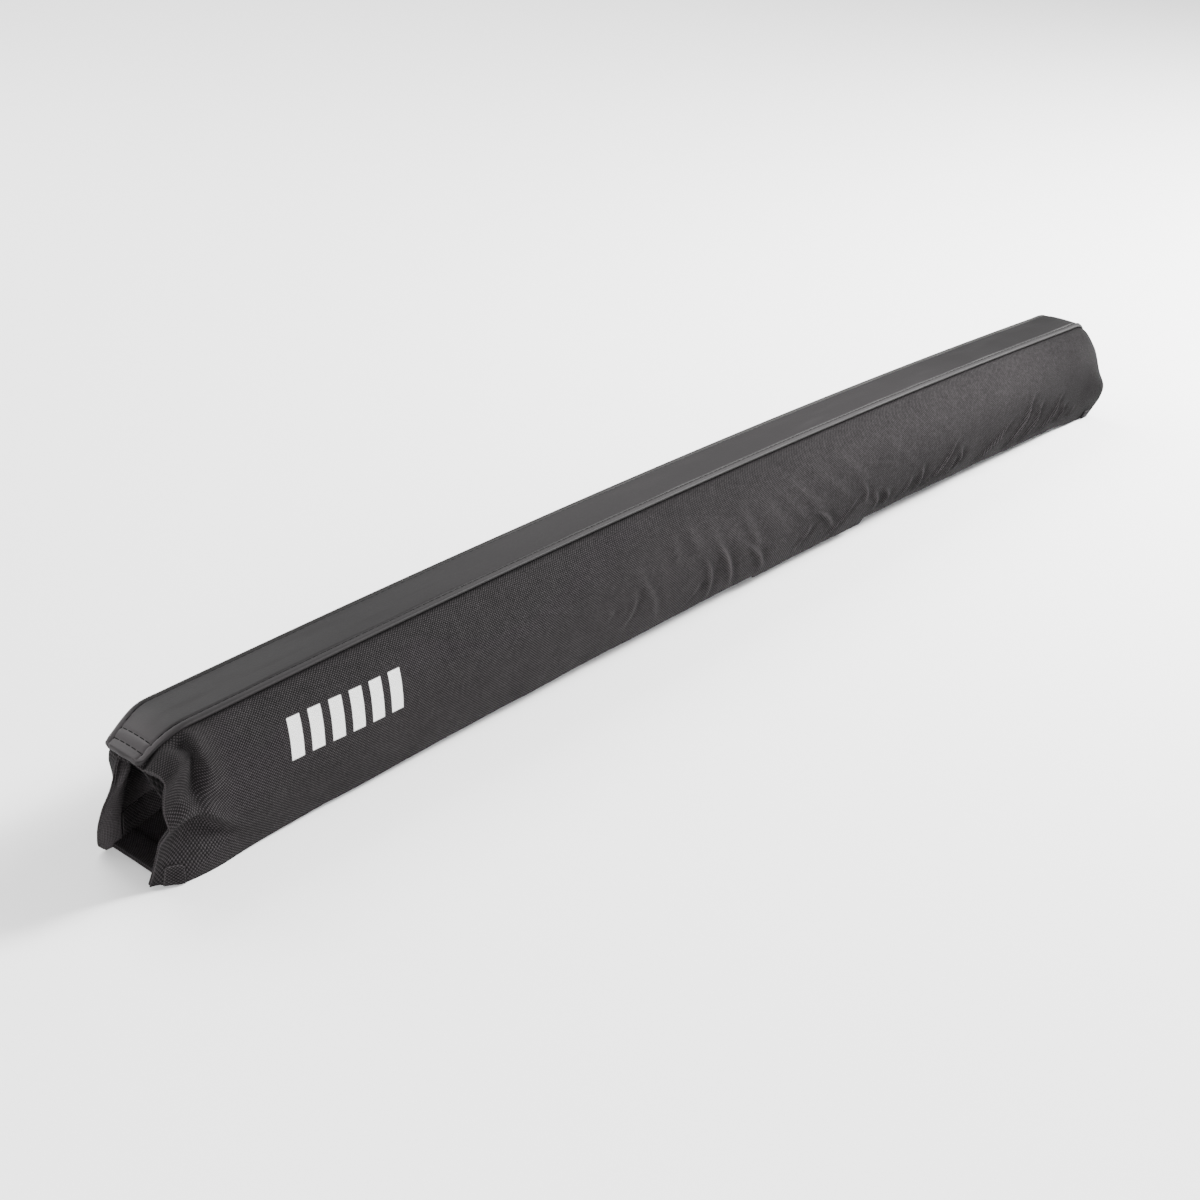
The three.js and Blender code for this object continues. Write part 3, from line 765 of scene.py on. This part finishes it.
def foam_core():
    """Foam bolster: crowned between the seam allowances, full to the walls, flat over the bar."""
    xs = stations(FOAM_SETBACK, 3.0, 0.7)
    x = xs[:, None]
    edge = strip_edge(x)
    ridge = edge - STRIP_FOLD - FOAM_SIDE_GAP
    t = np.linspace(0.06, LINING_TOP_AT, 14)
    floor = skin(xs, FRONT, np.full(xs.shape, LINING_AT), LINING_DEPTH)[1][:, None] + FOAM_FLOOR_GAP
    halves = []
    for side in (FRONT, BACK):
        top_y = ridge * np.linspace(0.15, 1, 5)
        top_z = strip_top(x, top_y) - STRIP_CLOTH - FOAM_TOP_GAP
        shelf = strip_top(x, edge) - PANEL_DEPTH - FOAM_SHELF_GAP
        wy, wz = skin(x, side, t, FOAM_DEPTH)
        low_y = np.abs(skin(x, side, np.full(x.shape, LINING_AT), FOAM_DEPTH)[0])
        corner_y = low_y - np.array([0.2, 1.2, 3.0])
        corner_z = floor + np.array([1.6, 0.5, 0.0])
        under_y = (low_y - 3.0) * np.array([0.7, 0.4, 0.15])
        ys = np.concatenate([side * top_y, side * (ridge + 0.2), wy, side * corner_y, side * under_y], axis=1)
        zs = np.concatenate([top_z, shelf, wz, corner_z, np.repeat(floor, under_y.shape[1], axis=1)], axis=1)
        halves.append((ys, zs))
    y = np.concatenate([halves[0][0], halves[1][0][:, ::-1]], axis=1)
    z = np.concatenate([halves[0][1], halves[1][1][:, ::-1]], axis=1)
    rings = place(x, y, z)
    around = rings.shape[1]
    j = np.arange(around // 2 - 1)
    caps = np.stack([j, j + 1, around - 2 - j, around - 1 - j], axis=1)
    v = np.linspace(0, 190, around + 1)
    return loft("foam_bolster", rings, caps, xs, v)


def strip_point(x, y, lift=0.0):
    """A point on the strip's face, or lifted off it."""
    return place(x, y, strip_face(x, y) + lift)


def stitching(name, x, y, along):
    """Row of stitches lying in the strip's grooves: each a bowed capsule, placed by its middle, its run and
    the face's normal."""
    turn = np.linspace(0, 2 * np.pi, STITCH_SPOKES, endpoint=False)
    reach = np.array([-0.5, -0.47, -0.3, 0.3, 0.47, 0.5]) * STITCH_LENGTH
    girth = np.array([0.15, 0.75, 1.0, 1.0, 0.75, 0.15]) * STITCH_RADIUS
    lx = np.repeat(reach, STITCH_SPOKES)
    ly = (girth[:, None] * np.cos(turn)).ravel()
    lz = (girth[:, None] * np.sin(turn)).ravel() - STITCH_BOW * (2 * lx / STITCH_LENGTH) ** 2
    middle = strip_point(x, y, STITCH_LIFT)
    dx, dy = along[0] * 0.5, along[1] * 0.5
    run = strip_point(x + dx, y + dy) - strip_point(x - dx, y - dy)
    side = strip_point(x - dy, y + dx) - strip_point(x + dy, y - dx)
    run /= np.linalg.norm(run, axis=1, keepdims=True)
    side /= np.linalg.norm(side, axis=1, keepdims=True)
    normal = np.cross(run, side)
    points = (
        middle[:, None]
        + lx[:, None] * run[:, None]
        + ly[:, None] * side[:, None]
        + lz[:, None] * normal[:, None]
    )
    one = tube_faces(len(reach), STITCH_SPOKES)[0]
    first_cap = np.array([[3, 2, 1, 0], [5, 4, 3, 0]])
    last_cap = np.array([[0, 1, 2, 3], [3, 4, 5, 0]]) + len(lx) - STITCH_SPOKES
    one = np.concatenate([one[:, ::-1], first_cap, last_cap])
    faces = (np.arange(len(x))[:, None, None] * len(lx) + one).reshape(-1, 4)
    points = points.reshape(-1, 3)
    if volume(points, faces) < 0:
        faces = faces[:, ::-1]
    return write_mesh(name, points, faces)


class Shade:
    """A socket of a finish's nodes. Sums, products and shares of it add their nodes."""

    def __init__(self, finish, socket):
        self.finish, self.socket = finish, socket

    def math(self, operation, *others):
        values = dict(enumerate((self, *others)))
        return self.finish.node("Math", {"operation": operation}, values)

    def __add__(self, other):
        return self.math("ADD", other)

    def __sub__(self, other):
        return self.math("SUBTRACT", other)

    def __mul__(self, other):
        return self.math("MULTIPLY", other)

    def __truediv__(self, other):
        return self.math("DIVIDE", other)

    def __rsub__(self, other):
        return self.finish.node("Math", {"operation": "SUBTRACT"}, {0: other, 1: self})

    def __rtruediv__(self, other):
        return self.finish.node("Math", {"operation": "DIVIDE"}, {0: other, 1: self})

    __radd__ = __add__
    __rmul__ = __mul__

    def sin(self):
        return self.math("SINE")

    def abs(self):
        return self.math("ABSOLUTE")

    def at_least(self, other):
        return self.math("MAXIMUM", other)

    def share(self, start, end):
        """How far this has come from start to end, between 0 and 1."""
        settings = {"interpolation_type": "SMOOTHSTEP"}
        return self.finish.node("MapRange", settings, {0: self, 1: float(start), 2: float(end)})


class Finish:
    """A material made of nodes round one shader."""

    def __init__(self, name):
        self.material = bpy.data.materials.new(name)
        self.material.use_nodes = True
        self.tree = self.material.node_tree
        self.tree.nodes.clear()

    def node(self, kind, settings=None, sockets=None, output=0):
        """Adds a node and gives one of its outputs. Settings come first, then each socket's value or link."""
        made = self.tree.nodes.new("ShaderNode" + kind)
        for key, value in (settings or {}).items():
            setattr(made, key, value)
        for key, value in (sockets or {}).items():
            if isinstance(value, Shade):
                self.tree.links.new(value.socket, made.inputs[key])
            else:
                made.inputs[key].default_value = value
        return Shade(self, made.outputs[output]) if made.outputs else None

    def axes(self, source):
        """The three parts of a coordinate: UV in millimetres along and down the cloth, Object in metres."""
        vector = self.node("TexCoord", output=source)
        return [self.node("SeparateXYZ", sockets={0: vector}, output=k) for k in range(3)]

    def noise(self, scale, detail, stretch=(1.0, 1.0, 1.0), roughness=0.5):
        """Noise on Object coordinates, scale in turns a metre."""
        at = self.node("TexCoord", output="Object")
        at = self.node("Mapping", sockets={"Vector": at, "Scale": stretch})
        sockets = {"Vector": at, "Scale": scale, "Detail": detail, "Roughness": roughness}
        return self.node("TexNoise", sockets=sockets)

    def attribute(self, name):
        return self.node("Attribute", {"attribute_name": name}, output="Fac")

    def blend(self, share, a, b):
        """Colour a where share is 0 and b where it is 1."""
        return self.node("Mix", {"data_type": "RGBA"}, {0: share, 6: a, 7: b}, output=2)

    def bumped(self, height, distance):
        """Normal for a height between 0 and 1 of a depth in metres."""
        return self.node("Bump", sockets={"Strength": 1.0, "Distance": distance, "Height": height})

    def surface(self, **sockets):
        """The shader, with its sockets by name, spaces written as underscores."""
        values = {key.replace("_", " "): value for key, value in sockets.items()}
        shader = self.node("BsdfPrincipled", sockets=values)
        self.node("OutputMaterial", sockets={"Surface": shader})
        return self.material


def grey(value, warm=0.0):
    """Dark cloth colour: a grey with a touch of warmth."""
    return (value * (1 + warm), value, value * (1 + warm * 0.4), 1.0)


# Widths of the yarns in millimetres, the weave's depth in metres, how warm the greys are, and the tone that
# a cloth's lightest colour stands for
YARN_ALONG, YARN_DOWN = 0.75, 0.70
WEAVE_DEPTH = 0.0004
WOVEN_WARMTH, COATED_WARMTH = 0.1, 0.09
WOVEN_RANGE, COATED_RANGE = 3.0, 2.4
COATED_DARK, COATED_STEP = 0.0055, 0.013


def woven(name, shade, contrast=1.75, mark=False):
    """Coarse plain weave: a pillow for each crossing, sin of one yarn count times sin of the other, whose
    sign says which yarn is on top, over slow mottling. The nap is rougher from the middle of the pad on."""
    finish = Finish(name)
    along, down, _ = finish.axes("UV")
    wobble = (finish.noise(60.0, 2.0) - 0.5) * 0.25
    a = ((along + wobble) * (np.pi / YARN_ALONG)).sin()
    b = ((down + wobble) * (np.pi / YARN_DOWN)).sin()
    parity = a * b
    pillow = parity.abs()
    slub = finish.noise(480.0, 4.0, roughness=0.75) - 0.5
    napped = finish.axes("Object")[0].share(-0.15, 0.15)
    mottle = finish.noise(60.0, 5.0, roughness=0.65) - 0.5
    tone = 0.5 + parity * (contrast * 0.75) + slub * (napped + 1.2) + mottle * 0.6 + pillow * 0.16 - 0.06
    # fold holds painted light and shade: lighter or darker paint standing in for how light falls
    edge = finish.attribute("fold")
    tone = (tone + edge * 0.9).at_least(0.0) * (1 / WOVEN_RANGE)
    light = shade * (0.35 + 1.3 * WOVEN_RANGE)
    colour = finish.blend(tone, grey(shade * 0.35, WOVEN_WARMTH), grey(light, WOVEN_WARMTH))
    if mark:
        colour = finish.blend(generic_mark(finish) * (0.82 + parity * 0.16), colour, (0.78, 0.78, 0.77, 1.0))
    height = pillow * 0.75 + parity * 0.2 + slub * 0.35
    return finish.surface(
        Base_Color=colour,
        Roughness=0.8,
        Specular_IOR_Level=0.05,
        Normal=finish.bumped(height, WEAVE_DEPTH),
    )


# The mark's sizes, in metres
MARK_START, MARK_LENGTH = -0.3185, 0.067
MARK_BASE, MARK_TOP = 0.0338, 0.0518
MARK_BARS, MARK_LEAN = 6, 0.1


def generic_mark(finish):
    """A row of leaning bars, all alike: 1 inside a bar and 0 between them."""
    x, y, z = finish.axes("Object")
    pitch = MARK_LENGTH / MARK_BARS
    fine, soft = 0.0002, 0.0003
    along = x - (z - MARK_BASE) * MARK_LEAN - MARK_START
    inside = along.share(-fine, fine) * (1 - along.share(MARK_LENGTH - fine, MARK_LENGTH + fine))
    across = (along / pitch).math("FRACT")
    bar = across.share(0.2, 0.24) * (1 - across.share(0.8, 0.84))
    band = z.share(MARK_BASE - soft, MARK_BASE + soft) * (1 - z.share(MARK_TOP - soft, MARK_TOP + soft))
    return inside * bar * band * (1 - y.share(-0.012, -0.010))


def coated():
    """Coated cloth of the strip: nearly smooth, with fine grain, faint scuffs and a low sheen."""
    finish = Finish("coated_strip")
    grain = finish.noise(1500.0, 2.0)
    mottle = finish.noise(30.0, 4.0, (0.35, 1.0, 1.0))
    scuff = finish.noise(160.0, 3.0, (0.12, 1.0, 1.0)).share(0.52, 0.75)
    # fold holds painted light and shade: painted highlights on beads and ends, painted shade in seams
    edge = finish.attribute("fold")
    tone = (0.3 + mottle * 0.3 + scuff * 0.12 + edge * 0.5 + grain * 0.1).at_least(0.0)
    light = COATED_DARK + COATED_STEP * COATED_RANGE
    colour = finish.blend(
        tone / COATED_RANGE, grey(COATED_DARK, COATED_WARMTH), grey(light, COATED_WARMTH)
    )
    return finish.surface(
        Base_Color=colour,
        Roughness=0.52 + scuff * 0.08 + grain * 0.06,
        Specular_IOR_Level=0.1,
        Normal=finish.bumped(grain + mottle * 0.5, 0.00006),
    )


def thread(name, shade):
    """Bonded sewing thread: near black, with fine unevenness for its twist."""
    finish = Finish(name)
    twist = finish.noise(2600.0, 1.0)
    colour = finish.blend(twist, grey(shade * 0.6), grey(shade * 1.5))
    return finish.surface(
        Base_Color=colour, Roughness=0.8, Specular_IOR_Level=0.05, Normal=finish.bumped(twist, 0.00008)
    )


def foamed():
    """Closed-cell foam: small round cells."""
    finish = Finish("closed_cell_foam")
    at = finish.node("TexCoord", output="Object")
    cells = finish.node("TexVoronoi", sockets={"Vector": at, "Scale": 900.0}, output="Distance")
    colour = finish.blend(cells, grey(0.09), grey(0.05))
    return finish.surface(Base_Color=colour, Roughness=0.9, Normal=finish.bumped(cells, 0.0002))


def taped(name, shade, scale):
    """Hook or loop tape: a pile of short fibres."""
    finish = Finish(name)
    pile = finish.noise(scale, 4.0)
    colour = finish.blend(pile, grey(shade * 0.5), grey(shade * 1.8))
    return finish.surface(
        Base_Color=colour, Roughness=0.9, Sheen_Weight=0.3, Normal=finish.bumped(pile, 0.0004)
    )


def finish_piece(piece, material, slot, *nodes):
    """Gives a piece its material and body, and hides the nodes of the part that it stands for; slot is not
    used.
    """
    piece.data.materials.append(material)
    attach(piece, "root")
    if nodes:
        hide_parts(*nodes)
    return piece


shell_cloth = woven("woven_shell", 0.0115)
marked_cloth = woven("woven_shell_with_mark", 0.0115, mark=True)
base_cloth = woven("woven_base", 0.0112)
lining_cloth = woven("lining_cloth", 0.006, contrast=1.3)
strip_cloth = coated()
strip_thread = thread("strip_thread", 0.004)

strip = finish_piece(wear_strip(), strip_cloth, "coated_strip", "wear_strip")
hems = {}
for side, word in ((FRONT, "front"), (BACK, "back")):
    cloth = marked_cloth if side == FRONT else shell_cloth
    wall = wall_panel(f"{word}_wall_cloth", side)
    finish_piece(wall, cloth, "woven_shell", f"{word}_panel")
    near = np.arange(HEM_INSET, MOUTH_HEM, HEM_STEP) - HALF
    down = np.linspace(0.03, 1, 60)
    lower = stations(MOUTH_HEM + 0.8, 2.0, 0.5)
    low = np.linspace(HEM_AT, 1, 8)
    hems[side] = [
        ply(f"near_mouth_{word}_hem", side, near, down, MOUTH_GAP, PLY_PAINTED_LIGHT),
        ply(f"far_mouth_{word}_hem", side, -near[::-1], down, MOUTH_GAP, PLY_PAINTED_LIGHT),
        ply(f"lower_{word}_hem", side, lower, low, PLY_GAP, HEM_PAINTED_LIGHT),
    ]
    for end, mouth in ((-1, "near"), (1, "far")):
        hems[side].append(corner_tab(f"{mouth}_{word}_corner_tab", side, end))
    for hem in hems[side]:
        finish_piece(hem, shell_cloth, "woven_shell")
floor_cloth = finish_piece(base_panel(), base_cloth, "woven_base", "base_panel")
floor_near = np.arange(BASE_SETBACK + HEM_INSET, MOUTH_HEM + BASE_SETBACK, HEM_STEP) - HALF
floor_hems = [
    finish_piece(base_ply("near_mouth_base_hem", floor_near), base_cloth, "woven_base"),
    finish_piece(base_ply("far_mouth_base_hem", -floor_near[::-1]), base_cloth, "woven_base"),
]
flap = finish_piece(closure_flap(), base_cloth, "woven_base", "closure_flap")
lining = finish_piece(foam_lining(), lining_cloth, "lining_cloth", "foam_lining")
bolster = finish_piece(foam_core(), foamed(), "foam", "foam_core")
hook_pile, loop_pile = taped("hook_tape", 0.02, 2200.0), taped("loop_tape", 0.03, 1500.0)
hook = tape("hook_tape_pile", HOOK_DEPTH, HOOK_THICKNESS)
hook = finish_piece(hook, hook_pile, "closure_tape", "hook_tape")
loop = tape("loop_tape_pile", LOOP_DEPTH, LOOP_THICKNESS)
loop = finish_piece(loop, loop_pile, "closure_tape", "loop_tape")

along = np.arange(END_SEAMS[0] - HALF, HALF - 3.5, STITCH_PITCH)
rows = []
for side, word in ((FRONT, "front"), (BACK, "back")):
    y = side * (strip_edge(along) - EDGE_SEAM)
    rows.append(stitching(f"strip_{word}_stitching", along, y, (1, 0)))
across = np.linspace(-END_SEAM_REACH, END_SEAM_REACH, 5)
for end, mouth in ((-1, "near"), (1, "far")):
    for inset, word in zip(END_SEAMS, ("outer", "inner")):
        x = np.full(across.shape, end * (HALF - inset))
        rows.append(stitching(f"strip_{mouth}_{word}_stitching", x, across, (0, 1)))
for row in rows:
    finish_piece(row, strip_thread, "coated_strip")

# Camera, fitted to the photograph's outline: millimetres in the part's frame, and a lens for a 36 mm sensor
CAMERA_AT = (-708.06, -566.28, 432.65)
CAMERA_RIGHT = (0.67692, -0.73605, 0.00223)
CAMERA_UP = (0.32549, 0.30205, 0.896)
CAMERA_AHEAD = (0.66018, 0.6058, -0.44404)
LENS, SENSOR = 54.0, 36.0


def camera():
    """Camera at the photograph's place, with its axes as the rows of the turn."""
    data = bpy.data.cameras.new("camera")
    data.lens = LENS
    data.sensor_width = SENSOR
    made = bpy.data.objects.new("camera", data)
    turn = Matrix((CAMERA_RIGHT, CAMERA_UP, [-v for v in CAMERA_AHEAD])).transposed()
    made.matrix_world = Matrix.Translation(Vector(CAMERA_AT) * MM) @ turn.to_4x4()
    bpy.context.scene.collection.objects.link(made)
    bpy.context.scene.camera = made


def soft_light(name, at, aim, size, power):
    """Square area light that faces a point, in metres and watts."""
    data = bpy.data.lights.new(name, "AREA")
    data.shape = "SQUARE"
    data.size = size
    data.energy = power
    made = bpy.data.objects.new(name, data)
    ahead = Vector(aim) - Vector(at)
    made.matrix_world = Matrix.Translation(at) @ ahead.to_track_quat("-Z", "Y").to_matrix().to_4x4()
    bpy.context.scene.collection.objects.link(made)


FLOOR_REACH, FLOOR_GAP = 12.0, 0.00002
ROOM_LIGHT = 0.55


def studio():
    """Pale floor just under the lowest hem, even room light, and soft lights beyond the far end, behind,
    above, at the rear and in front of the near mouth."""
    finish = Finish("studio_floor")
    pale = finish.surface(Base_Color=(0.88, 0.88, 0.88, 1.0), Roughness=0.9, Specular_IOR_Level=0.1)
    mesh = bpy.data.meshes.new("studio_floor")
    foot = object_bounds()[0][2] - FLOOR_GAP
    corners = [(x * FLOOR_REACH, y * FLOOR_REACH, foot) for x, y in ((-1, -1), (1, -1), (1, 1), (-1, 1))]
    mesh.from_pydata(corners, [], [(0, 1, 2, 3)])
    floor = bpy.data.objects.new("studio_floor", mesh)
    mesh.materials.append(pale)
    bpy.context.scene.collection.objects.link(floor)
    floor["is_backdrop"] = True
    world = bpy.data.worlds.new("studio")
    world.use_nodes = True
    background = world.node_tree.nodes["Background"]
    background.inputs["Color"].default_value = (1, 1, 1, 1)
    background.inputs["Strength"].default_value = ROOM_LIGHT
    bpy.context.scene.world = world
    soft_light("key_light", (1.5, -0.75, 1.0), (0, 0, 0.03), 0.5, 165)
    soft_light("back_light", (1.0, 2.6, 2.8), (1.2, 1.6, 0), 2.0, 170)
    soft_light("top_light", (0.6, -0.25, 0.75), (0.35, 0, 0.05), 0.4, 13)
    soft_light("rear_light", (-0.5, 1.7, 0.9), (0, 0, 0.03), 1.0, 26)
    soft_light("mouth_light", (-1.3, -0.7, 0.36), (-0.38, 0, 0.03), 0.5, 27)


camera()
studio()
